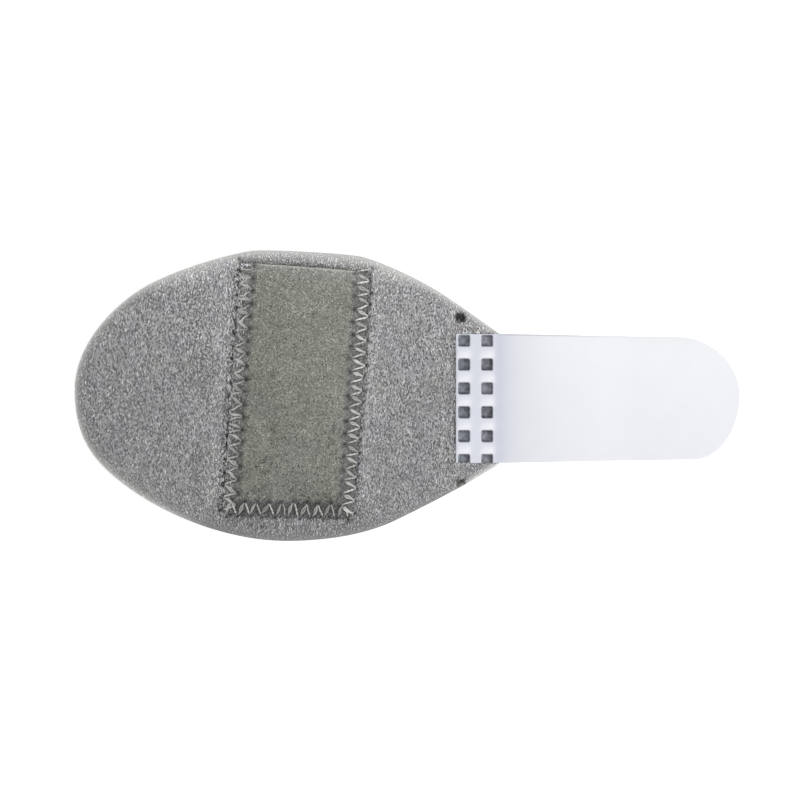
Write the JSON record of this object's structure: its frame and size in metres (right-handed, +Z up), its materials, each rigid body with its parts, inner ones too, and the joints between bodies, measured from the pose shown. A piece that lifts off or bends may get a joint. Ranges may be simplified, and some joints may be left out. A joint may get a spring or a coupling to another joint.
{
  "type": "finger splint",
  "caption": "Soft leaf-shaped finger wrap lying flat, with a sewn pocket for a flat stay across its middle and a white hook tab at its narrow end.",
  "frame": {"origin": "middle of the underside of the whole splint as it lies flat", "axes": "+X along the pad towards the hook tab, +Y across the pad towards the pocket's open end, +Z up, out of the napped side that carries the pocket"},
  "size_m": [0.1318, 0.0576, 0.0055],
  "materials": {
    "pad_cloth": "napped mid-grey loop cloth bonded to foam",
    "pocket_cloth": "fine olive-grey loop cloth",
    "tab_plastic": "white satin moulded plastic",
    "thread": "light grey twisted sewing thread"
  },
  "bodies": {
    "root": {"pad": "pad_cloth", "stay_pocket": "pocket_cloth", "hook_tab": "tab_plastic"}
  },
  "joints": []
}
